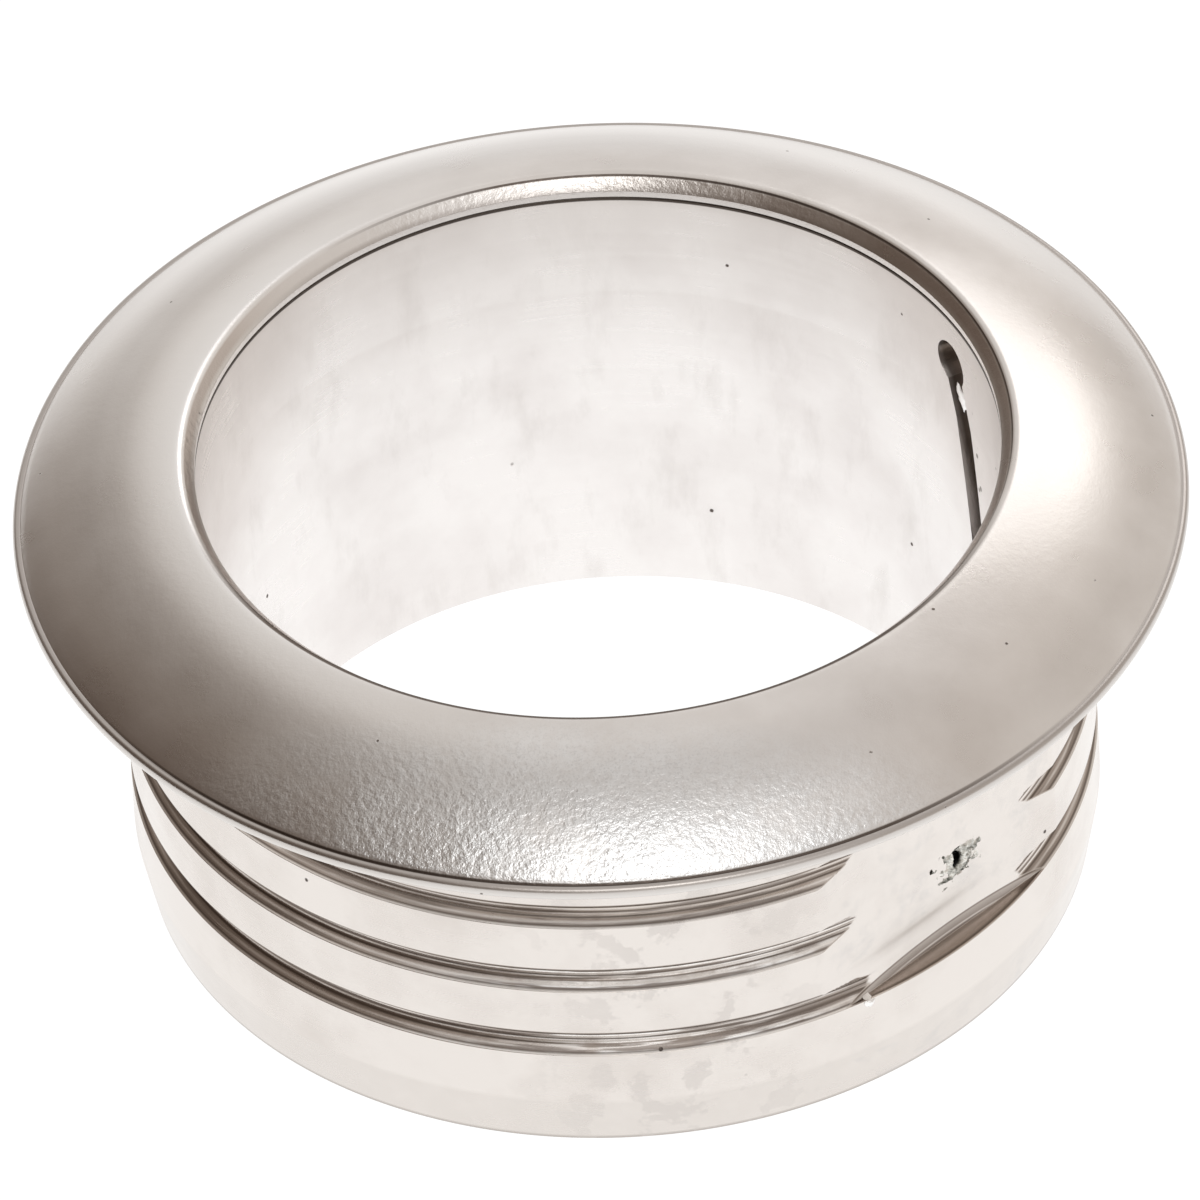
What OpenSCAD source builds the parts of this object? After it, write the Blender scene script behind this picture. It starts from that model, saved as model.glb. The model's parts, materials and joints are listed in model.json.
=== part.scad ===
// Thru hull fitting: a crowned flange on a grooved barrel, with a tapered bore right through it.
// Sizes are in millimetres. Z = 0 is the flat seat under the flange, and +Z leaves the mouth.

/* [Barrel] */
// Outside diameter of the barrel, a 3 inch hull hole
barrel_d = 76.2; // [70:0.1:80]
// Length of the barrel below the flange seat
barrel_l = 32.55; // [30:0.05:40]
// Width of each groove
groove_w = 2.3; // [1.5:0.1:3]
// Depth of each groove
groove_depth = 1.2; // [0.8:0.1:1.6]
// Depth of the first groove's centre below the seat
groove_first = 8.75; // [7:0.05:9]
// Distance from one groove to the next
groove_pitch = 6.6; // [5:0.1:7]
// Number of grooves
groove_count = 3; // [1:1:3]
// Length of the lead-in taper at the tail
lead_in_l = 4.65; // [2:0.05:5]
// How far the lead-in taper reduces the radius
lead_in_drop = 0.9; // [0.4:0.1:1.2]

/* [Flat] */
// Depth of the flat below the barrel's surface
flat_depth = 2.3; // [1.8:0.1:2.6]
// Bearing of the flat, from the front towards +X
flat_angle = 43.5; // [30:0.5:60]

/* [Flange] */
// Outside diameter of the flange
flange_d = 92.22; // [90:0.02:100]
// Height of the flange's lip above the seat
flange_h = 7.34; // [7:0.02:9]
// Radius of the flange's rounded outer edge
rim_r = 0.6; // [0.4:0.05:0.8]
// Radius of the crowned top, seen in section
crown_r = 30.5; // [30:0.1:40]
// Width of the chamfer round the mouth
mouth_chamfer_w = 1.09; // [0.8:0.01:1.3]
// Height of the chamfer round the mouth
mouth_chamfer_h = 1.19; // [0.8:0.01:1.3]

/* [Bore] */
// Diameter of the bore's straight register below the mouth
bore_d = 63.2; // [62:0.1:63.4]
// Diameter of the bore at the tail
tail_bore_d = 59.6; // [58:0.1:61]
// Length of the straight register
register_l = 10; // [8:0.5:12]
// Outside diameter of the liner sleeve
liner_d = 66.8; // [66.4:0.1:67.2]

/* [Keyhole slot] */
// Bearing of the keyhole's round end, from the front towards +X
keyhole_angle = 117; // [100:0.5:130]
// Height of the round end above the seat
keyhole_z = 0.9; // [0:0.05:1.5]
// Diameter of the round end
keyhole_d = 4; // [3:0.1:4.2]
// Width of the slanted slit
slit_w = 2.4; // [1.5:0.1:2.8]
// Length of the slit, from the round end's centre to its tip's centre
slit_l = 16.9; // [8:0.1:20]
// Slant of the slit from upright
slit_slant = 18.5; // [0:0.5:25]

/* [Locking pin] */
// Diameter of the pin
pin_d = 2.6; // [2:0.1:3]
// Distance of the pin beside the flat's centre line
pin_side = 2.3; // [0:0.1:4]
// Depth of the pin below the seat
pin_drop = 16.9; // [14:0.1:20]
// How far the staked end stands above the flat
pin_proud = 0.15; // [0.05:0.05:0.3]
// Diameter of the punch mark in the staked end
punch_d = 1.2; // [0.6:0.1:1.6]

/* [Seal] */
// Thickness of the round seal's cord
seal_cord = 1.3; // [1:0.05:1.4]
// Height of the seal above the seat
seal_z = 1.75; // [1.4:0.05:2.1]

/* [Hidden] */
$fn = 96;
clear_cut = 1;
arc_steps = 24;

barrel_r = barrel_d / 2;
bore_r = bore_d / 2;
tail_bore_r = tail_bore_d / 2;
liner_r = liner_d / 2;

// The barrel's top end is pressed up into a recess in the flange.
spigot_l = 3.5;

// The mouth: the liner stops one small land below the foot of the chamfer.
lip_r = bore_r + mouth_chamfer_w;
chamfer_foot_z = flange_h - mouth_chamfer_h;
lip_land = 0.3;
liner_top_z = chamfer_foot_z - lip_land;
register_end_z = liner_top_z - register_l;

// The crown is one arc from the rim's top to the lip.
rim_x = flange_d / 2 - rim_r;
rim_top = [rim_x, 2 * rim_r];
lip_top = [lip_r, flange_h];
chord = rim_top - lip_top;
chord_l = norm(chord);
chord_mid = (rim_top + lip_top) / 2;
chord_normal = [-chord[1], chord[0]] / chord_l;
crown_centre = chord_mid - chord_normal * sqrt(crown_r * crown_r - chord_l * chord_l / 4);
crown_start = bearing(rim_top - crown_centre);
crown_end = bearing(lip_top - crown_centre);

flat_plane = barrel_r - flat_depth;
groove_r = barrel_r - groove_depth;
groove_last = groove_first + (groove_count - 1) * groove_pitch;
flat_foot_z = -groove_last - groove_w / 2;

pin_inner = liner_r - 1.2;
punch_depth = 0.5;

seal_x = barrel_r - seal_cord / 2;
seal_gland_w = seal_cord + 0.1;

function bearing(v) = atan2(v[1], v[0]);

// Points along an arc from angle a0 to angle a1.
function arc(centre, r, a0, a1, steps = arc_steps) = [
    for (i = [0:steps])
        let (a = a0 + (a1 - a0) * i / steps)
            centre + r * [cos(a), sin(a)]
];

// A band of radii from inner to outer, between two heights.
module band(inner, outer, z0, z1) {
    translate([inner, z0])
        square([outer - inner, z1 - z0]);
}

// Turns to a bearing measured from the front towards +X, with +X of the child pointing outwards.
module at_bearing(a) {
    rotate([0, 0, a - 90])
        children();
}

// Crowned ring with a rounded rim, a chamfered mouth and a stepped recess for the barrel and liner.
module flange_section() {
    difference() {
        polygon(concat(
            [[bore_r, 0], [rim_x, 0]],
            arc([rim_x, rim_r], rim_r, -90, 90, 12),
            arc(crown_centre, crown_r, crown_start, crown_end),
            [[bore_r, chamfer_foot_z]]
        ));
        band(bore_r - clear_cut, liner_r, -clear_cut, liner_top_z);
        band(liner_r - clear_cut, barrel_r, -clear_cut, spigot_l);
    }
}

module flange_ring() {
    color([0.66, 0.64, 0.61])
        rotate_extrude()
            flange_section();
}

// Wall of the barrel: seal gland, grooves and lead-in taper.
module barrel_section() {
    difference() {
        polygon([
            [liner_r, -barrel_l],
            [barrel_r - lead_in_drop, -barrel_l],
            [barrel_r, lead_in_l - barrel_l],
            [barrel_r, spigot_l],
            [liner_r, spigot_l]
        ]);
        for (i = [0:groove_count - 1])
            let (z = -groove_first - i * groove_pitch)
                band(groove_r, barrel_r + clear_cut, z - groove_w / 2, z + groove_w / 2);
        band(
            barrel_r - seal_cord,
            barrel_r + clear_cut,
            seal_z - seal_gland_w / 2,
            seal_z + seal_gland_w / 2
        );
    }
}

// Block that cuts the flat, down to the lowest groove's lower wall.
module flat_cut() {
    at_bearing(flat_angle)
        translate([flat_plane, -barrel_r, flat_foot_z])
            cube([barrel_r, barrel_d, -flat_foot_z]);
}

// The pin stands square to the flat, beside its centre line.
module pin_place() {
    at_bearing(flat_angle)
        translate([0, pin_side, -pin_drop])
            rotate([0, 90, 0])
                children();
}

module pin_shank() {
    translate([0, 0, pin_inner])
        cylinder(h = flat_plane + pin_proud - pin_inner, d = pin_d);
}

module barrel() {
    color([0.86, 0.86, 0.85])
        difference() {
            rotate_extrude()
                barrel_section();
            flat_cut();
            pin_place()
                pin_shank();
        }
}

// Outline of the keyhole, with its round end at the origin and the slit running down from it.
module keyhole_outline() {
    circle(d = keyhole_d);
    rotate(-slit_slant)
        translate([-slit_w / 2, -slit_l])
            square([slit_w, slit_l]);
    rotate(-slit_slant)
        translate([0, -slit_l])
            circle(d = slit_w);
}

module keyhole_cut() {
    at_bearing(keyhole_angle)
        translate([tail_bore_r - 3 * clear_cut, 0, keyhole_z])
            rotate([90, 0, 90])
                linear_extrude(height = liner_r - tail_bore_r + 6 * clear_cut)
                    keyhole_outline();
}

// Thin sleeve that forms the bore: a straight register, then a taper to the tail.
module liner_section() {
    polygon([
        [liner_r, -barrel_l],
        [liner_r, liner_top_z],
        [bore_r, liner_top_z],
        [bore_r, register_end_z],
        [tail_bore_r, -barrel_l]
    ]);
}

module bore_liner() {
    color([0.92, 0.92, 0.91])
        difference() {
            rotate_extrude()
                liner_section();
            keyhole_cut();
            pin_place()
                pin_shank();
        }
}

// Pin through the barrel wall into the liner, with a punch mark in its staked end.
module locking_pin() {
    color([0.5, 0.5, 0.5])
        pin_place()
            difference() {
                pin_shank();
                translate([0, 0, flat_plane + pin_proud - punch_depth])
                    cylinder(h = punch_depth + clear_cut, d = punch_d);
            }
}

// Round rubber seal in the gland between the barrel and the flange.
module joint_seal() {
    color([0.08, 0.08, 0.08])
        rotate_extrude()
            translate([seal_x, seal_z])
                circle(d = seal_cord);
}

flange_ring();
barrel();
bore_liner();
locking_pin();
joint_seal();
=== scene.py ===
import json
import math

import bmesh
import bpy
from mathutils import Matrix, Vector, noise


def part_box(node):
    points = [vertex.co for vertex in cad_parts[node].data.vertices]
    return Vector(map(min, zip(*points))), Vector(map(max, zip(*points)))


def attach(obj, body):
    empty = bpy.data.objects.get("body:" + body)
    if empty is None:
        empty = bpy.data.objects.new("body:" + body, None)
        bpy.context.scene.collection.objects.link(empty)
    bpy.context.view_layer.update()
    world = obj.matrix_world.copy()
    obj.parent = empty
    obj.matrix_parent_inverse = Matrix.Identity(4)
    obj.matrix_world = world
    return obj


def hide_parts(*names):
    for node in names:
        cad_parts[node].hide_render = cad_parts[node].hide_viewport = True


# Thru hull fitting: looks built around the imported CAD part. The fitting's sizes are in millimetres, and
# MM turns them into metres. The floor's size and the distances and sizes of the lights and the camera's
# distance are in metres. Bearings are degrees from the front (-Y) towards +X.

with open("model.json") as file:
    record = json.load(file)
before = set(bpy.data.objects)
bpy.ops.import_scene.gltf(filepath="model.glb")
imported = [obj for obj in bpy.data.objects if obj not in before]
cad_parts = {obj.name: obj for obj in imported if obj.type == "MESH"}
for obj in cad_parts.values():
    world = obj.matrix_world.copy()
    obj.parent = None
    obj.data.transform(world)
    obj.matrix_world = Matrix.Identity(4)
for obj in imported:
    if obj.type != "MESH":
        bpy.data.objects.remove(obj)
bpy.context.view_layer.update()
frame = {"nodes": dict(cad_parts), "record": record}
MM = 0.001


# ---------------------------------------------------------------- sizes from the frame

def extent(node):
    """Largest radius, lowest z and highest z of a CAD node, in millimetres."""
    low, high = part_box(node)
    return high.x / MM, low.z / MM, high.z / MM


mounts = {m["name"]: m for m in frame["record"]["mounts"]}
flange_r, seat_z, lip_z = extent("flange_ring")
barrel_r, tail_z, spigot_top_z = extent("barrel")
liner_r, _, liner_top_z = extent("bore_liner")
_, seal_low_z, seal_high_z = extent("joint_seal")
bore_r = mounts["bore_register"]["dims"]["r_mm"]
register_l = mounts["bore_register"]["dims"]["length_mm"]
band_l = mounts["barrel_tail"]["dims"]["length_mm"]
band_mid_z = mounts["barrel_tail"]["pos_m"][2] / MM

# Flange
rim_r = 0.6
rim_inner_r = flange_r - rim_r
crown_r = 30.5
mouth_chamfer_w = 1.09
mouth_chamfer_h = 1.19
lip_r = bore_r + mouth_chamfer_w
chamfer_foot_z = lip_z - mouth_chamfer_h

# Barrel
groove_w = 2.3
groove_depth = 1.2
groove_r = barrel_r - groove_depth
groove_pitch = 6.6
groove_count = 3
turned_ring = 0.06
foot_z = band_mid_z + band_l / 2
groove_centres = [foot_z + groove_w / 2 + i * groove_pitch for i in range(groove_count)]
lead_in_z = band_mid_z - band_l / 2
lead_in_drop = 0.9
tail_r = barrel_r - lead_in_drop
inner_wall_limit_r = groove_r - 0.3

# Flat
flat_bearing = 43.5
flat_depth = 2.3
flat_plane = barrel_r - flat_depth
flat_half_angle_limit = 60
flat_run_out = 2.75
flat_run_out_r = 6.5

# Bore, and the seam under the mouth's land
bore_narrowing = 1.8
tail_bore_r = bore_r - bore_narrowing
seam_z = liner_top_z - 0.35
seam_w = 0.3

# Keyhole
keyhole_bearing = 117.0
keyhole_z = 0.9
keyhole_r = 2.0
slit_w = 2.4
slit_l = 16.9
slit_slant = 18.5

# Pin
pin_r = 1.3
pin_side = 2.3
pin_z = -16.9
pin_hollow_depth = 0.9
pin_angle_limit = 15
scar_half_h = 2.5


# ---------------------------------------------------------------- mesh helpers

def at(bearing, radius, z):
    """A point in metres, from a bearing in degrees and millimetre radius and height."""
    a = math.radians(bearing)
    return Vector((radius * math.sin(a), -radius * math.cos(a), z)) * MM


def filleted(corners, steps=5):
    """Closed outline from (radius, z, fillet) corners, each fillet rounded as an arc."""
    outline = []
    count = len(corners)
    for i, (x, z, fillet) in enumerate(corners):
        here = Vector((x, z))
        if fillet == 0:
            outline.append(here)
            continue
        before = (Vector(corners[i - 1][:2]) - here).normalized()
        after = (Vector(corners[(i + 1) % count][:2]) - here).normalized()
        half = before.angle(after) / 2
        reach = fillet / math.tan(half)
        centre = here + (before + after).normalized() * (fillet / math.sin(half))
        start = here + before * reach - centre
        turn = start.angle_signed(here + after * reach - centre)
        for k in range(steps + 1):
            outline.append(centre + Matrix.Rotation(-turn * k / steps, 2) @ start)
    return outline


def subdivided(outline, step):
    """The closed outline with no straight run longer than step(middle of the run) millimetres."""
    fine = []
    for i, p in enumerate(outline):
        q = outline[(i + 1) % len(outline)]
        cuts = max(1, math.ceil((q - p).length / step((p + q) / 2)))
        fine += [p.lerp(q, k / cuts) for k in range(cuts)]
    return fine


def even_bearings(step=0.5):
    """Bearings all the way round, step degrees apart."""
    return [i * step for i in range(round(360 / step))]


def new_object(name, bm, sharp_angle=35):
    """Smooth-shaded object in the scene, sharp where faces meet at more than sharp_angle degrees."""
    mesh = bpy.data.meshes.new(name)
    bmesh.ops.recalc_face_normals(bm, faces=bm.faces)
    bm.to_mesh(mesh)
    bm.free()
    mesh.shade_smooth()
    mesh.set_sharp_from_angle(angle=math.radians(sharp_angle))
    obj = bpy.data.objects.new(name, mesh)
    bpy.context.scene.collection.objects.link(obj)
    return obj


def lathe(name, outline, bearings, place=None, sharp_angle=35):
    """Revolves a closed outline. place(bearing, r, z) may move a point's radius."""
    bm = bmesh.new()
    rings = []
    for b in bearings:
        ring = []
        for p in outline:
            r = place(b, p.x, p.y) if place else p.x
            ring.append(bm.verts.new(at(b, r, p.y)))
        rings.append(ring)
    n = len(outline)
    for i, ring in enumerate(rings):
        following = rings[(i + 1) % len(rings)]
        for k in range(n):
            bm.faces.new((ring[k], ring[(k + 1) % n], following[(k + 1) % n], following[k]))
    return new_object(name, bm, sharp_angle)


def bearing_difference(a, b):
    """Signed turn from b to a, in degrees, no more than half a turn."""
    return (a - b + 180) % 360 - 180


def smoothstep(low, high, x):
    """0 below low, 1 above high, and smooth between."""
    t = min(1, max(0, (x - low) / (high - low)))
    return t * t * (3 - 2 * t)


# ---------------------------------------------------------------- flange

def crown_arc(steps=40):
    """Crown from the rim's top to the lip, one arc bulging upwards."""
    start = Vector((rim_inner_r, 2 * rim_r))
    end = Vector((lip_r, lip_z))
    chord = start - end
    normal = Vector((-chord.y, chord.x)).normalized()
    centre = (start + end) / 2 - normal * math.sqrt(crown_r ** 2 - chord.length_squared / 4)
    a0 = math.atan2(start.y - centre.y, start.x - centre.x)
    a1 = math.atan2(end.y - centre.y, end.x - centre.x)
    angles = [a0 + (a1 - a0) * i / steps for i in range(steps + 1)]
    return [centre + crown_r * Vector((math.cos(a), math.sin(a))) for a in angles]


def make_flange():
    """Crowned ring with a rounded rim and lip, a chamfered mouth and the recess for the barrel's top end."""
    crown = crown_arc()
    land_z = seam_z + 0.03
    corners = [
        (barrel_r, 0, 0.1),
        (flange_r, 0, rim_r * 0.9),
        (flange_r, 2 * rim_r, rim_r * 0.7),
        (crown[0].x, crown[0].y - 0.06, 0),
    ]
    corners += [(p.x, p.y, 0) for p in crown[1:-2]]
    corners += [
        (lip_r, lip_z, 0.8),
        (bore_r, chamfer_foot_z, 0.08),
        (bore_r, land_z, 0.08),
        (liner_r, land_z, 0),
        (liner_r, spigot_top_z, 0),
        (barrel_r, spigot_top_z, 0),
    ]
    return lathe("flange_crown", filleted(corners), even_bearings())


# ---------------------------------------------------------------- barrel

def flat_radius(bearing, z):
    """Radius of the flat at a bearing: a plane that curves out at its foot, where the cutter ran out."""
    off = math.radians(bearing_difference(bearing, flat_bearing))
    if abs(off) > math.radians(flat_half_angle_limit):
        return math.inf
    below = max(0, foot_z + flat_run_out - z)
    plane = flat_plane + flat_run_out_r - math.sqrt(flat_run_out_r ** 2 - below ** 2)
    return plane / math.cos(off)


def soft_min(a, b, k=0.1):
    """The smaller of two, rounded where they come within k of each other."""
    h = max(k - abs(a - b), 0) / k
    return min(a, b) - h * h * k / 4


def pin_offset(bearing, z):
    """Distance from the pin's axis, measured on the flat."""
    side = flat_plane * math.tan(math.radians(bearing_difference(bearing, flat_bearing)))
    return math.hypot(side - pin_side, z - pin_z)


def barrel_surface(bearing, r, z):
    """The barrel's radius with the flat cut off its outside and the wall hollowed under the pin's end."""
    tolerance = 1e-4
    if r < inner_wall_limit_r or z < foot_z + tolerance or z > seat_z + tolerance:
        return r
    r = soft_min(r, flat_radius(bearing, z))
    if abs(bearing_difference(bearing, flat_bearing)) < pin_angle_limit:
        outside_pin = smoothstep(pin_r - 0.15, pin_r + 0.1, pin_offset(bearing, z))
        r -= pin_hollow_depth * (1 - outside_pin)
    return r


def groove_profile(centre, steps=28):
    """Corners of one groove: a hollow curve with turned rings in it, each edge slightly rounded."""
    hollow_power = 2.2
    edge_fillet = 0.08
    profile = []
    for k in range(steps + 1):
        u = 2 * k / steps - 1
        r = groove_r + (barrel_r - groove_r) * abs(u) ** hollow_power
        r += turned_ring * (1 - math.cos(4 * math.pi * (u + 1))) / 2
        profile.append((r, centre + u * groove_w / 2, edge_fillet if k in (0, steps) else 0))
    return profile


def barrel_step(middle):
    """Longest straight run of the barrel's outline: short round the pin and at the flat's foot."""
    inner_wall_step, pin_step, run_out_step, plain_step = 12, 0.12, 0.2, 1.2
    if middle.x < inner_wall_limit_r:
        return inner_wall_step
    if abs(middle.y - pin_z) < scar_half_h:
        return pin_step
    return run_out_step if foot_z < middle.y < foot_z + flat_run_out else plain_step


def barrel_bearings():
    """Bearings one degree apart, closer along both edges of the flat and across the pin."""
    groove_edge, barrel_edge = (math.degrees(math.acos(flat_plane / r)) for r in (groove_r, barrel_r))
    edge_steps = round(5 * (barrel_edge - groove_edge)) + 10
    fine = [flat_bearing + s * (groove_edge - 1 + d / 5) for s in (-1, 1) for d in range(edge_steps)]
    pin_bearing = flat_bearing + math.degrees(math.atan(pin_side / flat_plane))
    fine += [pin_bearing + d / 4 for d in range(-16, 17)]
    return sorted(set(round(b, 4) for b in even_bearings(1) + fine))


def make_barrel():
    """Grooved barrel with a lead-in at the tail, and a gland for the seal in its top end."""
    clearance = 0.01
    gland_gap = 0.05
    recess_r = barrel_r - clearance
    gland_r = barrel_r - seal_high_z + seal_low_z
    corners = [
        (liner_r + clearance, tail_z, 0),
        (tail_r, tail_z, 0.25),
        (barrel_r, lead_in_z, 2.0),
    ]
    for z in groove_centres:
        corners += groove_profile(z)
    corners += [
        (barrel_r, seat_z, 0),
        (recess_r, seat_z + 0.02, 0),
        (recess_r, seal_low_z - gland_gap, 0),
        (gland_r, seal_low_z - gland_gap, 0),
        (gland_r, seal_high_z + gland_gap, 0),
        (recess_r, seal_high_z + gland_gap, 0),
        (recess_r, spigot_top_z, 0),
        (liner_r + clearance, spigot_top_z, 0),
    ]
    outline = subdivided(filleted(corners), barrel_step)
    return lathe("barrel_wall", outline, barrel_bearings(), barrel_surface)


# ---------------------------------------------------------------- liner

def keyhole_outline(grow, steps=14):
    """Keyhole outline, (side, z) points going round, grown by a margin."""
    slant = math.radians(slit_slant)
    along = Vector((-math.sin(slant), -math.cos(slant)))
    across = Vector((along.y, -along.x))
    r = keyhole_r + grow
    w = slit_w / 2 + grow
    gap = math.asin(w / r)
    down = math.atan2(along.y, along.x)
    points = []
    for k in range(2 * steps + 1):
        a = down + gap + (2 * math.pi - 2 * gap) * k / (2 * steps)
        points.append(r * Vector((math.cos(a), math.sin(a))))
    end = along * slit_l
    sign = 1 if points[-1].dot(across) > 0 else -1
    for k in range(steps + 1):
        a = math.pi * k / steps
        points.append(end + across * sign * w * math.cos(a) + along * w * math.sin(a))
    return points


def keyhole_cutter():
    """Solid keyhole through the liner's wall, a little wider at the bore's surface than behind it."""
    a = math.radians(keyhole_bearing)
    outward = Vector((math.sin(a), -math.cos(a), 0))
    side = Vector((math.cos(a), math.sin(a), 0))
    middle = Vector((0, 0, keyhole_z))
    flare = 0.12
    layers = [(bore_r - 4, flare), (bore_r - 0.7, flare), (bore_r + 0.1, 0.0), (liner_r + 1, 0.0)]
    bm = bmesh.new()
    rings = []
    for depth, grow in layers:
        rings.append([
            bm.verts.new((outward * depth + middle + side * p.x + Vector((0, 0, p.y))) * MM)
            for p in keyhole_outline(grow)
        ])
    n = len(rings[0])
    for low, high in zip(rings, rings[1:]):
        for k in range(n):
            bm.faces.new((low[k], low[(k + 1) % n], high[(k + 1) % n], high[k]))
    bm.faces.new(rings[0])
    bm.faces.new(rings[-1])
    return new_object("keyhole_cutter", bm)


def make_liner():
    """Bore sleeve: a straight register, then a taper to the tail, with the keyhole cut through it."""
    longest_run = 0.8
    corners = [
        (liner_r, tail_z, 0),
        (liner_r, seam_z, 0),
        (bore_r, seam_z, 0.12),
        (bore_r, liner_top_z - register_l, 6.0),
        (tail_bore_r, tail_z, 0.12),
    ]
    outline = subdivided(filleted(corners), lambda middle: longest_run)
    liner = lathe("bore_sleeve", outline, even_bearings())
    cutter = keyhole_cutter()
    cut = liner.modifiers.new("keyhole", "BOOLEAN")
    cut.operation = "DIFFERENCE"
    cut.object = cutter
    cut.solver = "EXACT"
    bpy.context.view_layer.update()
    evaluated = liner.evaluated_get(bpy.context.evaluated_depsgraph_get())
    mesh = bpy.data.meshes.new_from_object(evaluated)
    liner.modifiers.clear()
    liner.data = mesh
    bpy.data.objects.remove(cutter)
    mesh.shade_smooth()
    mesh.set_sharp_from_angle(angle=math.radians(30))
    return liner


# ---------------------------------------------------------------- pin

def make_pin():
    """Staked end of the pin: torn metal round a punch hole, thrown out to lower left and upper right."""
    a = math.radians(flat_bearing)
    outward = Vector((math.sin(a), -math.cos(a), 0))
    side = Vector((math.cos(a), math.sin(a), 0))
    up = Vector((0, 0, 1))
    origin = outward * flat_plane + side * pin_side + up * pin_z
    thrown = math.radians(6)
    highest = 0.36
    bm = bmesh.new()
    rings, turns = 56, 150
    grid = []
    for i in range(1, rings + 1):
        ring = []
        for k in range(turns):
            t = 2 * math.pi * k / turns
            reach = 1.3 + 2.2 * math.cos(t - thrown) ** 2
            reach += 0.6 * noise.noise(Vector((math.cos(t) * 2, math.sin(t) * 2, 5.2)))
            r = reach * i / rings
            x, z = r * math.cos(t), r * math.sin(t)
            torn = noise.fractal(Vector((x * 1.1, z * 1.1, 3.1)), 0.9, 2.2, 5)
            ridge = 0.5 - abs(noise.noise(Vector((x * 1.3, z * 1.3, 9.4)))) * 2.4
            hole = -0.8 * (1 - smoothstep(0.25, 0.65, math.hypot(x + 0.15, (z - 0.1) * 0.7)))
            height = 0.14 * ridge + 0.36 * torn + hole + 0.08
            height -= 0.2 * smoothstep(reach * 0.4, reach, r)
            height = min(height, highest)
            ring.append(bm.verts.new((origin + outward * height + side * x + up * z) * MM))
        grid.append(ring)
    for low, high in zip(grid, grid[1:]):
        for k in range(turns):
            bm.faces.new((low[k], low[(k + 1) % turns], high[(k + 1) % turns], high[k]))
    bm.faces.new(grid[0])
    return new_object("staked_pin", bm, 60)


# ---------------------------------------------------------------- burrs

def make_burr(name, bearing, z, radius, length, width, lean, crest):
    """Torn sliver lying on a wall: it starts at z and runs down by length, leaning by lean."""
    bm = bmesh.new()
    steps_down, steps_across = 16, 8
    rows = []
    for i in range(steps_down + 1):
        drop = i / steps_down
        swell = math.sin(math.pi * (0.08 + 0.86 * drop))
        rough = noise.noise(Vector((drop * 5, bearing, 0.7)))
        half = width / 2 * swell * (1 + 0.9 * rough)
        row = []
        for k in range(steps_across + 1):
            u = 2 * k / steps_across - 1
            turn = math.degrees((u * half + lean * drop) / radius(drop))
            ragged = 0.4 * crest * noise.noise(Vector((u * 2, drop * 7, bearing)))
            height = crest * (1 - u * u) * swell + ragged
            row.append(bm.verts.new(at(bearing + turn, radius(drop) + height, z - length * drop)))
        rows.append(row)
    for low, high in zip(rows, rows[1:]):
        for k in range(steps_across):
            bm.faces.new((low[k], low[k + 1], high[k + 1], high[k]))
    return new_object(name, bm, 60)


def make_nick():
    """Bright burr where the lowest groove runs out onto the flat's foot."""
    off = 14.2
    plane = flat_plane / math.cos(math.radians(off))
    return make_burr(
        "groove_nick", flat_bearing - off, foot_z + 0.5,
        radius=lambda drop: plane + 1.2 * smoothstep(0.2, 0.5, drop),
        length=1.2, width=0.95, lean=0.1, crest=0.22,
    )


def make_slit_burr():
    """Bright sliver on the edge of the keyhole's throat."""
    return make_burr(
        "slit_burr", keyhole_bearing - 1.9, keyhole_z - 1.2,
        radius=lambda drop: bore_r + 0.02,
        length=2.4, width=1.15, lean=-0.85, crest=-0.14,
    )


# ---------------------------------------------------------------- shader helpers

def material(name, base, roughness):
    """New bare metal; the caller adds its texture nodes."""
    m = bpy.data.materials.new(name)
    m.use_nodes = True
    bsdf = m.node_tree.nodes["Principled BSDF"]
    bsdf.inputs["Base Color"].default_value = (*base, 1)
    bsdf.inputs["Metallic"].default_value = 1
    bsdf.inputs["Roughness"].default_value = roughness
    return m, m.node_tree, bsdf


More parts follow.
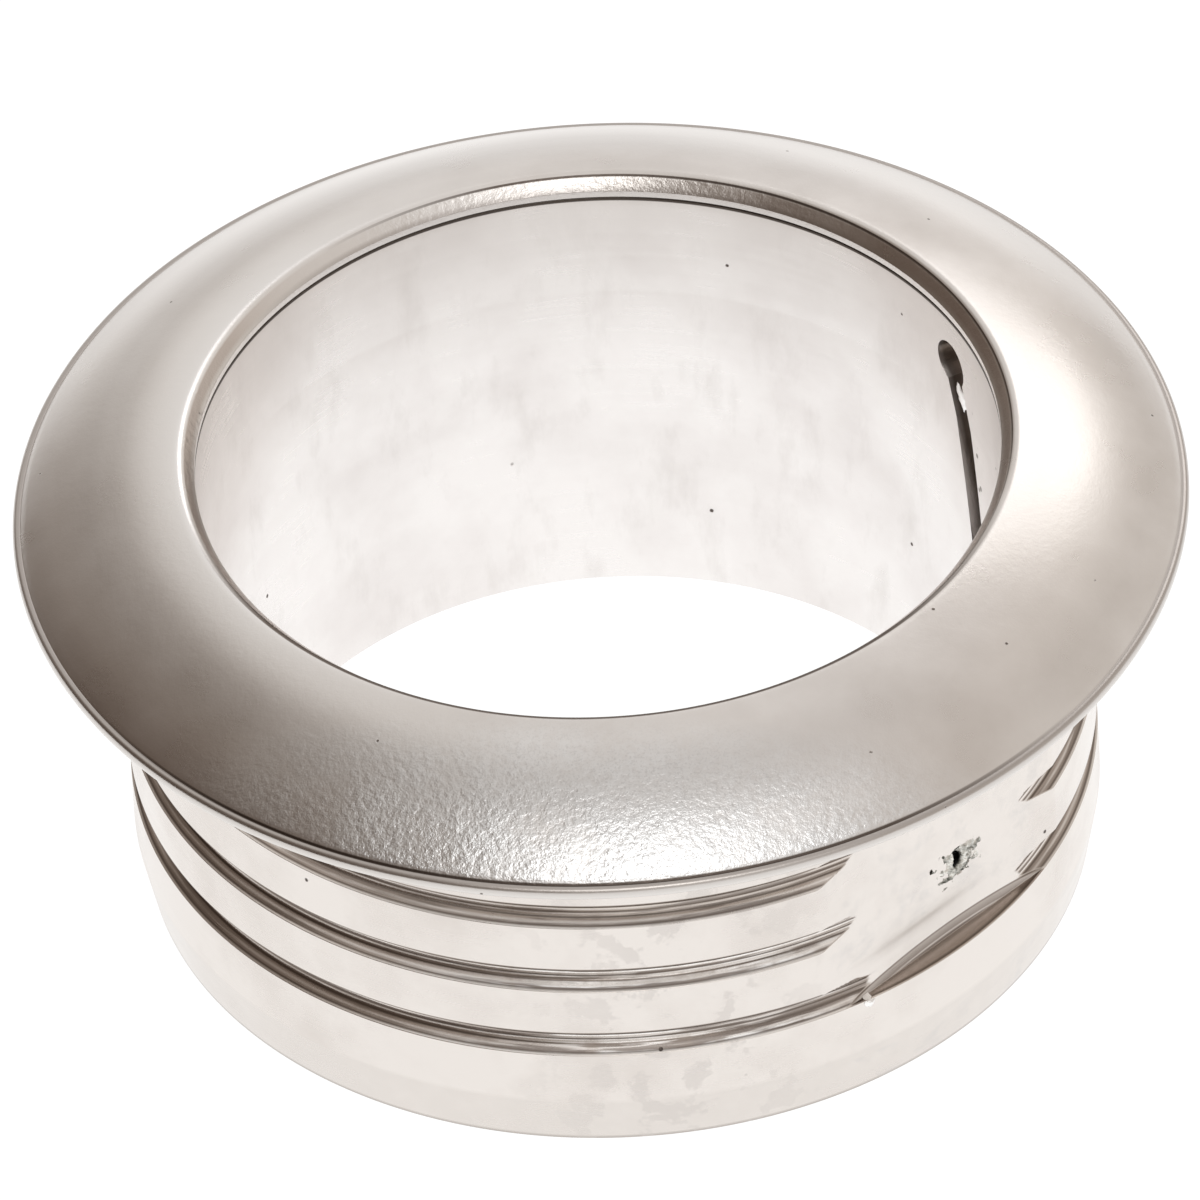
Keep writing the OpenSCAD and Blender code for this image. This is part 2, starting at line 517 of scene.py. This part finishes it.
class Nodes:
    """Short calls for the few shader nodes the materials use.

    Texture scales are per millimetre. A mask is a value from 0 to 1, and a tone is a colour.
    """

    def __init__(self, tree):
        self.tree = tree
        self.coordinates = self.add("ShaderNodeTexCoord").outputs["Object"]

    def add(self, kind, **values):
        node = self.tree.nodes.new(kind)
        for key, value in values.items():
            setattr(node, key, value)
        return node

    def link(self, a, b):
        self.tree.links.new(a, b)

    def stretched(self, scale):
        """Object coordinates multiplied by a scale for each axis."""
        node = self.add("ShaderNodeMapping")
        node.inputs["Scale"].default_value = scale
        self.link(self.coordinates, node.inputs["Vector"])
        return node.outputs["Vector"]

    def noise(self, per_mm, detail=4, roughness=0.55, vector=None):
        node = self.add("ShaderNodeTexNoise")
        node.inputs["Scale"].default_value = per_mm / MM
        node.inputs["Detail"].default_value = detail
        node.inputs["Roughness"].default_value = roughness
        self.link(vector or self.coordinates, node.inputs["Vector"])
        return node.outputs["Fac"]

    def cells(self, per_mm):
        """Distance to the nearest of many scattered points, and that point's own colour."""
        node = self.add("ShaderNodeTexVoronoi")
        node.inputs["Scale"].default_value = per_mm / MM
        self.link(self.coordinates, node.inputs["Vector"])
        return node.outputs["Distance"], node.outputs["Color"]

    def axis_parts(self):
        """Distance from the bore's axis and height, both in millimetres."""
        flat = self.stretched((1 / MM, 1 / MM, 0))
        length = self.add("ShaderNodeVectorMath", operation="LENGTH")
        self.link(flat, length.inputs[0])
        split = self.add("ShaderNodeSeparateXYZ")
        self.link(self.stretched((0, 0, 1 / MM)), split.inputs["Vector"])
        return length.outputs["Value"], split.outputs["Z"]

    def along(self, bearing):
        """Distance from the bore's axis towards a bearing, in millimetres."""
        dot = self.add("ShaderNodeVectorMath", operation="DOT_PRODUCT")
        self.link(self.coordinates, dot.inputs[0])
        dot.inputs[1].default_value = at(bearing, 1, 0) / MM / MM
        return dot.outputs["Value"]

    def math(self, operation, a, b):
        """One maths node. a and b are numbers or sockets."""
        node = self.add("ShaderNodeMath", operation=operation)
        for socket, value in zip(node.inputs, (a, b)):
            if isinstance(value, (int, float)):
                socket.default_value = value
            else:
                self.link(value, socket)
        return node.outputs["Value"]

    def fit(self, value, low, high, to_low, to_high):
        """Maps value from low..high to to_low..to_high, and holds it there beyond either end."""
        node = self.add("ShaderNodeMapRange")
        node.inputs["From Min"].default_value = low
        node.inputs["From Max"].default_value = high
        node.inputs["To Min"].default_value = to_low
        node.inputs["To Max"].default_value = to_high
        self.link(value, node.inputs["Value"])
        return node.outputs["Result"]

    def both(self, *masks):
        """Product of masks."""
        product = masks[0]
        for mask in masks[1:]:
            product = self.math("MULTIPLY", product, mask)
        return product

    def between(self, value, low, high, soft=0.04):
        """1 where value lies between low and high, with soft edges."""
        above = self.fit(value, low - soft, low + soft, 0, 1)
        below = self.fit(value, high - soft, high + soft, 1, 0)
        return self.both(above, below)

    def blend(self, factor, a, b):
        """Tone a where factor is 0 and tone b where it is 1."""
        node = self.add("ShaderNodeMix", data_type="RGBA")
        self.link(factor, node.inputs["Factor"])
        for socket, value in zip((node.inputs["A"], node.inputs["B"]), (a, b)):
            if isinstance(value, tuple):
                socket.default_value = (*value, 1)
            else:
                self.link(value, socket)
        return node.outputs["Result"]

    def paint(self, tone, colour, *masks):
        """The tone, with a colour laid over it where every mask is 1."""
        return self.blend(self.both(*masks), tone, colour)

    def bump(self, height, distance_mm, strength=1.0, normal=None):
        node = self.add("ShaderNodeBump")
        node.inputs["Distance"].default_value = distance_mm * MM
        node.inputs["Strength"].default_value = strength
        self.link(height, node.inputs["Height"])
        if normal:
            self.link(normal, node.inputs["Normal"])
        return node.outputs["Normal"]


def pits(n, per_mm, share, size):
    """1 in sparse small round pits, 0 elsewhere."""
    distance, colour = n.cells(per_mm)
    split = n.add("ShaderNodeSeparateColor")
    n.link(colour, split.inputs["Color"])
    chosen = n.fit(split.outputs["Red"], 1 - share, 1 - share + 0.01, 0, 1)
    near = n.fit(distance, size * 0.6, size, 1, 0)
    return n.both(chosen, near)


# ---------------------------------------------------------------- satin flange

def crown_shading(n, tone, radius):
    """Painted shade and painted highlights on the crown by bearing: shade mid-crown away from the right, a
    highlight at the right, shade at the back right and the left, and a highlight by the lip at the left.
    """
    left, right, back_right = n.along(-95), n.along(90), n.along(140)
    middle = n.between(radius, 36.5, 41.5, 1.5)
    tone = n.paint(tone, (0.38, 0.35, 0.33), middle, n.fit(right, 25, 5, 0, 0.3))
    tone = n.paint(tone, (0.98, 0.95, 0.92), middle, n.fit(right, 25, 36, 0, 0.6))
    outer = n.fit(radius, 41, 44.5, 0, 1)
    tone = n.paint(tone, (0.5, 0.46, 0.43), outer, n.fit(back_right, 28, 42, 0, 0.35))
    outer = n.fit(radius, 39, 44.5, 0, 1)
    tone = n.paint(tone, (0.4, 0.36, 0.33), n.fit(left, 18, 40, 0, 0.35), outer)
    beside_lip = n.fit(radius, lip_r + 4.5, lip_r, 0, 1)
    return n.paint(tone, (0.99, 0.98, 0.97), n.fit(left, 8, 26, 0, 0.9), beside_lip)


def crown_shade_lines(n, tone, radius, height):
    """Painted shade on the rim, darker towards its top, and painted shade lines inside it at the front and
    at the lip, back and front.
    """
    dark = (0.14, 0.115, 0.1)
    front, back_right = n.along(-6), n.along(140)
    above = n.fit(height, 1.0, 1.05, 0, 1)
    rim = n.fit(radius, rim_inner_r - 0.1, rim_inner_r + 0.1, 0, 1)
    # Painted shade on the rim's rounding, darker towards its top.
    rim_painted_shade = n.blend(n.fit(height, 0.4, 1.2, 0, 1), (0.74, 0.71, 0.68), (0.5, 0.465, 0.44))
    tone = n.paint(tone, rim_painted_shade, rim)
    # Painted shade lines along the rim at the front and along the lip at the back right and the front.
    rim_line = n.between(radius, rim_inner_r - 0.14, rim_inner_r + 0.1)
    tone = n.paint(tone, dark, rim_line, above, n.fit(front, 24, 38, 0, 1))
    back_line = n.between(radius, lip_r - 0.3, lip_r - 0.14, 0.03)
    tone = n.paint(tone, dark, back_line, above, n.fit(back_right, 6, 20, 0, 1))
    front_line = n.between(radius, lip_r - 0.4, lip_r + 0.2, 0.06)
    return n.paint(tone, (0.16, 0.13, 0.11), front_line, above, n.fit(front, 6, 22, 0, 1))


def chamfer_light_and_shade(n, tone, mouth, height):
    """The chamfer inside the lip in painted shade, browner away from the back, and at its foot a painted
    highlight that turns to painted shade at the back.
    """
    back = n.along(180)
    tone = n.paint(tone, (0.67, 0.605, 0.56), mouth, n.fit(back, 27, 15, 0, 1))
    foot = n.fit(height, chamfer_foot_z + 0.35, chamfer_foot_z + 0.1, 0, 0.9)
    foot_highlight_and_shade = n.blend(n.fit(back, 10, 28, 0, 1), (0.9, 0.87, 0.84), (0.6, 0.565, 0.54))
    return n.paint(tone, foot_highlight_and_shade, mouth, foot)


def satin_material():
    """Blasted crown: cloudy smudges, specks, and a fine grain, with painted sparkle highlights and painted
    shade flecks on it at the front.
    """
    m, tree, bsdf = material("flange_satin", (0.8, 0.78, 0.76), 0.3)
    n = Nodes(tree)
    radius, height = n.axis_parts()
    cloud = n.noise(0.12, 5, 0.6)
    grain = n.noise(1.7, 3, 0.65)
    fine = n.noise(5.0, 2, 0.6)
    specks = pits(n, 0.55, 0.12, 0.08)
    grain_and_painted_sparkle = n.both(
        n.fit(n.along(-6), 32, 41, 0, 1),
        n.fit(n.noise(0.25, 3), 0.3, 0.6, 0.5, 1),
        n.fit(radius, rim_inner_r, rim_inner_r - 0.3, 0, 1),
    )
    mouth = n.fit(radius, lip_r - 0.2, lip_r - 0.35, 0, 1)

    tone = n.blend(n.fit(cloud, 0.35, 0.7, 0, 1), (0.78, 0.745, 0.715), (0.86, 0.83, 0.805))
    # Painted highlight at the front: a cool tint and bright sparkle on the grain, with painted shade flecks
    # between.
    tone = n.paint(tone, (0.83, 0.845, 0.86), n.math("MULTIPLY", grain_and_painted_sparkle, 0.8))
    tone = n.paint(tone, (0.96, 0.98, 0.99), grain_and_painted_sparkle, n.fit(grain, 0.35, 0.6, 0, 0.8))
    tone = n.paint(tone, (0.45, 0.45, 0.45), grain_and_painted_sparkle, n.fit(fine, 0.48, 0.36, 0, 0.5))
    tone = crown_shading(n, tone, radius)
    tone = crown_shade_lines(n, tone, radius, height)
    tone = chamfer_light_and_shade(n, tone, mouth, height)
    tone = n.paint(tone, (0.2, 0.17, 0.15), specks)
    n.link(tone, bsdf.inputs["Base Color"])
    n.link(n.fit(cloud, 0.3, 0.7, 0.26, 0.34), bsdf.inputs["Roughness"])

    normal = n.bump(fine, 0.012, 0.4)
    rough_parts = n.math("MAXIMUM", n.fit(grain_and_painted_sparkle, 0, 1, 0.1, 1), n.fit(mouth, 0, 1, 0, 0.5))
    normal = n.bump(n.both(grain, rough_parts), 0.11, 0.95, normal)
    normal = n.bump(n.math("MULTIPLY", specks, -1), 0.06, 0.8, normal)
    n.link(normal, bsdf.inputs["Normal"])
    return m


# ---------------------------------------------------------------- polished walls

def polished_material(name, light, dark, low_rough, high_rough, shade):
    """Polished wall with faint smudges, fine lines round the axis and sparse pits.

    shade(n, tone) adds what is particular to one wall.
    """
    m, tree, bsdf = material(name, light, low_rough)
    n = Nodes(tree)
    smudge = n.noise(0.09, 6, 0.6)
    lines = n.noise(1.0, 3, 0.6, n.stretched((0.05, 0.05, 3.0)))
    dust = pits(n, 0.45, 0.08, 0.085)
    tone = shade(n, n.blend(n.fit(smudge, 0.45, 0.75, 0, 1), light, dark))
    tone = n.paint(tone, (0.12, 0.1, 0.09), dust)
    n.link(tone, bsdf.inputs["Base Color"])
    smudge_rough = n.fit(smudge, 0.3, 0.7, low_rough, high_rough)
    lines_rough = n.fit(lines, 0.3, 0.7, -0.03, 0.03)
    n.link(n.math("ADD", smudge_rough, lines_rough), bsdf.inputs["Roughness"])
    normal = n.bump(lines, 0.01, 0.25)
    normal = n.bump(n.noise(0.5, 4), 0.03, 0.15, normal)
    normal = n.bump(n.math("MULTIPLY", dust, -1), 0.08, 0.8, normal)
    n.link(normal, bsdf.inputs["Normal"])
    return m


def beyond_flat(n, height):
    """How far a point lies outside the flat's surface, in millimetres, with the flat's run-out."""
    below = n.math("MAXIMUM", n.math("SUBTRACT", foot_z + flat_run_out, height), 0)
    below = n.math("MINIMUM", below, flat_run_out)
    root = n.math("SQRT", n.math("SUBTRACT", flat_run_out_r ** 2, n.math("MULTIPLY", below, below)), 0)
    plane = n.math("SUBTRACT", flat_plane + flat_run_out_r, root)
    return n.math("SUBTRACT", n.along(flat_bearing), plane)


def worn_wall(n, tone, height, patch, sideways):
    """A darker lead-in, a dark edge at the tail, and worn patches near the front and the back."""
    darker = n.fit(height, lead_in_z + 0.25, lead_in_z - 0.25, 0, 1)
    tone = n.paint(tone, (0.73, 0.685, 0.645), darker, n.fit(patch, 0.2, 0.6, 0.6, 1))
    tone = n.paint(tone, (0.4, 0.36, 0.33), n.fit(height, tail_z + 0.5, tail_z + 0.2, 0, 0.8))
    worn = n.fit(n.noise(0.35, 4, 0.6), 0.54, 0.6, 0, 0.5)
    return n.paint(tone, (0.62, 0.58, 0.55), n.fit(sideways, 14, 4, 0, 1), worn)


def groove_tones(n, tone, radius, height, off_flat, front_groove_highlight):
    """Grooves in painted shade, brown, with painted light and dark lines on the turned rings, a painted
    shade line along the top edge, and painted highlight streaks at the front, dimmer in the top groove under
    the flange.

    A ring is the height of its middle from the groove's own middle, and half its width.
    """
    ring_highlights = ((-0.13, 0.06), (-0.46, 0.05), (-0.84, 0.05))
    ring_shade_lines = ((0.08, 0.07), (-0.3, 0.05), (-0.63, 0.05), (-1.07, 0.08))
    streak = n.noise(1.0, 3, 0.6, n.stretched((0.09, 0.09, 3.2)))
    below_surface = n.fit(radius, barrel_r - 0.25, barrel_r - 0.12, 1, 0)
    sunk = n.both(off_flat, below_surface, n.fit(radius, liner_r + 1, liner_r + 1.5, 0, 1))
    edge_r = n.fit(radius, groove_r, groove_r + 0.5, 0, 1)
    for z in groove_centres:
        top_z = z + groove_w / 2
        here = n.both(sunk, n.between(height, z - groove_w / 2 - 0.1, top_z + 0.1))
        # Painted highlight streaks at the front over the grooves' painted shade, dimmer in the top groove
        # under the flange.
        bright = (0.58, 0.52, 0.47) if z == groove_centres[-1] else (0.98, 0.96, 0.94)
        streaked_highlight = n.blend(n.fit(streak, 0.44, 0.52, 0, 1), (0.3, 0.26, 0.235), bright)
        darker = n.blend(n.fit(streak, 0.4, 0.6, 0, 1), (0.34, 0.29, 0.255), (0.5, 0.435, 0.39))
        tone = n.paint(tone, n.blend(front_groove_highlight, darker, streaked_highlight), here)
        # Painted highlight lines where the turned rings catch the light.
        for ring, half in ring_highlights:
            line = n.between(height, z + ring - half, z + ring + half, 0.04)
            tone = n.paint(tone, (0.86, 0.81, 0.77), line, sunk, n.fit(streak, 0.4, 0.55, 0.2, 0.9))
        # Painted shade lines between the turned rings.
        for ring, half in ring_shade_lines:
            line = n.between(height, z + ring - half, z + ring + half, 0.03)
            tone = n.paint(tone, (0.15, 0.12, 0.1), line, sunk, n.fit(streak, 0.3, 0.6, 0.6, 1))
        # Painted shade under each groove's top edge.
        top_edge = n.between(height, top_z - 0.05, top_z + 0.1, 0.03)
        tone = n.paint(tone, (0.24, 0.2, 0.17), off_flat, top_edge, edge_r)
    return tone


def flat_tones(n, tone, radius, height, beyond):
    """Scuffs on the flat, and at its foot a lens-shaped run-out in painted shade, whose three lines above a
    brown ledge are painted reflection and shade of the ledge; a painted shade line runs along the ledge's
    outer edge.

    A line is its height above the foot at the lens's middle, half its width and its colour.
    """
    lens_h, lens_half_w = 1.05, 12.5
    lines = (
        (0.96, 0.06, (0.22, 0.18, 0.155)),
        (0.3, 0.05, (0.62, 0.57, 0.53)),
        (0.1, 0.05, (0.22, 0.18, 0.155)),
    )
    on_flat = n.both(n.fit(beyond, -0.06, -0.03, 0, 1), n.fit(radius, barrel_r - 0.14, barrel_r - 0.2, 0, 1))
    scuffs = n.noise(0.3, 5, 0.65)
    tone = n.paint(tone, (0.58, 0.56, 0.55), on_flat, n.fit(scuffs, 0.5, 0.66, 0, 0.3))

    side = n.along(flat_bearing + 90)
    rise = n.math("MULTIPLY", n.math("MULTIPLY", side, side), lens_h / lens_half_w ** 2)
    lens = n.math("ADD", height, rise)
    under_lens_top = n.fit(lens, foot_z + 1.05, foot_z + 0.95, 0, 1)
    run_out = n.both(on_flat, n.fit(height, foot_z + 0.04, foot_z + 0.08, 0, 1), under_lens_top)
    above_ledge_foot = n.fit(height, foot_z - 0.2, foot_z - 0.1, 0, 1)
    ledge = n.both(on_flat, n.fit(height, foot_z + 0.06, foot_z + 0.03, 0, 1), above_ledge_foot)
    lens_height = n.fit(lens, foot_z + 0.3, foot_z + 1.2, 0, 1)
    # Painted shade and painted reflection of the ledge on the run-out.
    tone = n.paint(tone, n.blend(lens_height, (0.32, 0.275, 0.245), (0.52, 0.47, 0.43)), run_out)
    tone = n.paint(tone, (0.47, 0.41, 0.37), ledge)
    for z, half, colour in lines:
        line = n.between(lens, foot_z + z - half, foot_z + z + half, 0.04)
        tone = n.paint(tone, colour, run_out, line)
    # Painted shade along the ledge's outer edge.
    ledge_rim = n.fit(radius, barrel_r - 0.5, barrel_r - 0.3, 0, 1)
    return n.paint(tone, (0.2, 0.165, 0.14), ledge, ledge_rim)


def barrel_shade(n, tone):
    """Wear, grooves, flat, and the inner wall seen through the keyhole in painted shade, darkest at the top.
    """
    radius, height = n.axis_parts()
    beyond = beyond_flat(n, height)
    off_flat = n.fit(beyond, -0.1, -0.04, 1, 0)
    sideways = n.math("ABSOLUTE", n.along(96), 0)
    patch = n.noise(0.5, 4)
    # Painted highlight in the grooves near the front and the back, broken up by patches.
    front_groove_highlight = n.both(n.fit(sideways, 8, 22, 1, 0), n.fit(patch, 0.3, 0.5, 0.3, 1))
    tone = worn_wall(n, tone, height, patch, sideways)
    tone = groove_tones(n, tone, radius, height, off_flat, front_groove_highlight)
    tone = flat_tones(n, tone, radius, height, beyond)
    # Painted shade on the inner wall inside the keyhole, black towards the top.
    inside_shade = n.blend(n.fit(patch, 0.4, 0.62, 0, 1), (0.4, 0.35, 0.32), (0.66, 0.6, 0.555))
    inside_shade = n.paint(inside_shade, (0.05, 0.04, 0.035), n.fit(height, keyhole_z - 0.1, keyhole_z + 0.7, 0, 0.9))
    return n.paint(tone, inside_shade, n.fit(radius, liner_r + 0.5, liner_r + 0.3, 0, 1))


def bore_shade(n, tone):
    """A darker tone that fades down the bore, smudges, specks beside the slit, its cut wall darker as an
    unpolished cut and painted shade, and the dark seam.
    """
    radius, height = n.axis_parts()
    tone = n.paint(tone, (0.68, 0.64, 0.61), n.fit(height, -10, seam_z, 0, 0.9))
    smudge = n.noise(0.3, 5, 0.65, n.stretched((1.0, 1.0, 0.35)))
    tone = n.paint(tone, (0.62, 0.58, 0.55), n.fit(smudge, 0.52, 0.72, 0, 0.3))

    drop = n.math("SUBTRACT", keyhole_z, height)
    slit_offset = n.math("MULTIPLY", drop, math.tan(math.radians(slit_slant)))
    off_slit = n.math("SUBTRACT", n.along(keyhole_bearing - 90), slit_offset)
    beside = n.both(
        n.between(off_slit, 1.5, 2.7, 0.1),
        n.between(drop, 2.5, 10.0, 0.2),
        n.fit(n.along(keyhole_bearing), 0, 1, 0, 1),
    )
    tone = n.paint(tone, (0.22, 0.2, 0.18), beside, pits(n, 1.1, 0.7, 0.3))
    # The slit's cut wall darker: partly its unpolished cut, partly painted shade inside the slit.
    tone = n.paint(tone, (0.46, 0.41, 0.375), n.fit(radius, bore_r + 0.25, bore_r + 0.5, 0, 1))
    seam_foot_z = seam_z - seam_w
    seam = n.fit(height, seam_foot_z - 0.04, seam_foot_z + 0.04, 0, 1)
    return n.paint(tone, (0.09, 0.075, 0.065), seam)


# ---------------------------------------------------------------- small parts

def pin_material():
    """Torn steel: bright and dark patches, and painted shade, black, in the punch hole."""
    m, tree, bsdf = material("pin_steel", (0.5, 0.49, 0.47), 0.35)
    n = Nodes(tree)
    patch = n.noise(0.9, 3, 0.6)
    tone = n.blend(n.fit(patch, 0.4, 0.6, 0, 1), (0.12, 0.12, 0.1), (0.88, 0.87, 0.82))
    # Painted shade, black, in the punch hole.
    sunk = n.fit(n.along(flat_bearing), flat_plane - 0.1, flat_plane - 0.3, 0, 1)
    n.link(n.paint(tone, (0.02, 0.02, 0.02), sunk), bsdf.inputs["Base Color"])
    n.link(n.fit(patch, 0.3, 0.7, 0.5, 0.25), bsdf.inputs["Roughness"])
    n.link(n.bump(n.noise(3.0, 5), 0.08, 0.8), bsdf.inputs["Normal"])
    return m


def burr_material():
    """Freshly torn metal with a slight grain, brighter than the walls' steel as a painted glint."""
    m, tree, bsdf = material("burr_bright", (0.97, 0.96, 0.95), 0.3)
    n = Nodes(tree)
    grain = n.noise(3.0, 3)
    n.link(n.blend(grain, (0.93, 0.92, 0.9), (0.99, 0.98, 0.97)), bsdf.inputs["Base Color"])
    n.link(n.bump(grain, 0.03, 0.4), bsdf.inputs["Normal"])
    return m


def rubber_material():
    """Black rubber of the hidden seal."""
    m, tree, bsdf = material("seal_rubber", (0.03, 0.03, 0.03), 0.6)
    bsdf.inputs["Metallic"].default_value = 0
    n = Nodes(tree)
    grain = n.noise(2.0, 4)
    n.link(n.blend(grain, (0.02, 0.02, 0.02), (0.045, 0.045, 0.045)), bsdf.inputs["Base Color"])
    n.link(n.fit(grain, 0.3, 0.7, 0.5, 0.7), bsdf.inputs["Roughness"])
    n.link(n.bump(grain, 0.02, 0.3), bsdf.inputs["Normal"])
    return m


def assign(obj, m):
    """Gives a piece its one material."""
    obj.data.materials.clear()
    obj.data.materials.append(m)


# ---------------------------------------------------------------- build

def install(obj, node, m):
    """Puts a piece in the place of its CAD node."""
    assign(obj, m)
    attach(obj, "root")
    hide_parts(node)


install(make_flange(), "flange_ring", satin_material())
install(
    make_barrel(), "barrel",
    polished_material("barrel_polish", (0.80, 0.755, 0.715), (0.70, 0.65, 0.61), 0.2, 0.3, barrel_shade),
)
install(
    make_liner(), "bore_liner",
    polished_material("liner_polish", (0.91, 0.88, 0.86), (0.83, 0.79, 0.77), 0.26, 0.36, bore_shade),
)
install(make_pin(), "locking_pin", pin_material())
# The burrs' brighter steel is a painted glint on torn metal.
burr_bright = burr_material()
for burr, slot in ((make_nick(), "barrel_polish"), (make_slit_burr(), "liner_polish")):
    assign(burr, burr_bright)
    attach(burr, "root")
assign(frame["nodes"]["joint_seal"], rubber_material())


# ---------------------------------------------------------------- floor, light and camera

def make_floor():
    """Glowing table just under the fitting, so the floor reads as an even white."""
    half = 3.0
    z = tail_z * MM - 0.00002
    bm = bmesh.new()
    corners = ((-1, -1), (1, -1), (1, 1), (-1, 1))
    bm.faces.new([bm.verts.new((x * half, y * half, z)) for x, y in corners])
    floor = new_object("floor", bm)
    m = bpy.data.materials.new("floor_white")
    m.use_nodes = True
    bsdf = m.node_tree.nodes["Principled BSDF"]
    bsdf.inputs["Base Color"].default_value = (0.1, 0.1, 0.1, 1)
    bsdf.inputs["Roughness"].default_value = 0.9
    bsdf.inputs["Emission Color"].default_value = (1, 1, 1, 1)
    bsdf.inputs["Emission Strength"].default_value = 1.0
    assign(floor, m)


def make_world():
    """Light tent: its tone depends on how far a direction points to the right, and is dark at the left."""
    rightwards = (0.978, 0.208, 0)
    world = bpy.data.worlds.new("tent")
    bpy.context.scene.world = world
    world.use_nodes = True
    tree = world.node_tree
    direction = tree.nodes.new("ShaderNodeTexCoord").outputs["Generated"]
    across = tree.nodes.new("ShaderNodeVectorMath")
    across.operation = "DOT_PRODUCT"
    across.inputs[1].default_value = rightwards
    tree.links.new(direction, across.inputs[0])
    spread = tree.nodes.new("ShaderNodeMapRange")
    spread.inputs["From Min"].default_value = -1
    tree.links.new(across.outputs["Value"], spread.inputs["Value"])
    ramp = tree.nodes.new("ShaderNodeValToRGB")
    tree.links.new(spread.outputs["Result"], ramp.inputs["Fac"])
    stops = [
        (-1, (0.12, 0.09, 0.07)),
        (-0.69, (0.15, 0.115, 0.095)),
        (-0.58, (0.25, 0.21, 0.18)),
        (-0.45, (0.31, 0.27, 0.24)),
        (-0.36, (0.42, 0.38, 0.35)),
        (-0.18, (0.76, 0.73, 0.70)),
        (0.3, (0.74, 0.71, 0.69)),
        (0.57, (0.58, 0.53, 0.49)),
        (1, (0.7, 0.66, 0.62)),
    ]
    elements = ramp.color_ramp.elements
    while len(elements) < len(stops):
        elements.new(0.5)
    for element, (x, colour) in zip(elements, stops):
        element.position = (x + 1) / 2
        element.color = (*colour, 1)
    background = tree.nodes["Background"]
    tree.links.new(ramp.outputs["Color"], background.inputs["Color"])


def make_camera():
    """Long lens from the front, 40.9 degrees up, rolled a little."""
    elevation = math.radians(40.90)
    roll = math.radians(-3.34)
    distance = 3.0
    target = Vector((-0.489, 0, -9.05)) * MM
    back = Vector((0, -math.cos(elevation), math.sin(elevation)))
    right = Vector((1, 0, 0))
    up = Vector((0, math.sin(elevation), math.cos(elevation)))
    x_axis = math.cos(roll) * right + math.sin(roll) * up
    y_axis = -math.sin(roll) * right + math.cos(roll) * up
    data = bpy.data.cameras.new("camera")
    data.sensor_width = 36
    data.lens = 1146.9
    camera = bpy.data.objects.new("camera", data)
    turned = Matrix((x_axis, y_axis, back)).transposed().to_4x4()
    camera.matrix_world = Matrix.Translation(target + back * distance) @ turned
    bpy.context.scene.collection.objects.link(camera)
    bpy.context.scene.camera = camera


def make_softbox(name, direction, distance, size, radiance):
    """Round softbox aimed at the fitting, bright enough to give one radiance whatever its size."""
    data = bpy.data.lights.new(name, "AREA")
    data.shape = "DISK"
    data.size = size
    data.energy = radiance * math.pi * math.pi * (size / 2) ** 2
    light = bpy.data.objects.new(name, data)
    light.location = Vector(direction).normalized() * distance
    light.rotation_mode = "QUATERNION"
    light.rotation_quaternion = light.location.to_track_quat("Z", "Y")
    bpy.context.scene.collection.objects.link(light)


make_floor()
make_world()
make_softbox("front_softbox", (0.04, -0.56, 0.83), 0.8, 0.42, 1.6)
make_softbox("back_softbox", (0.36, 0.74, 0.57), 0.8, 0.4, 1.1)
make_camera()
bpy.context.scene.view_settings.view_transform = "Standard"
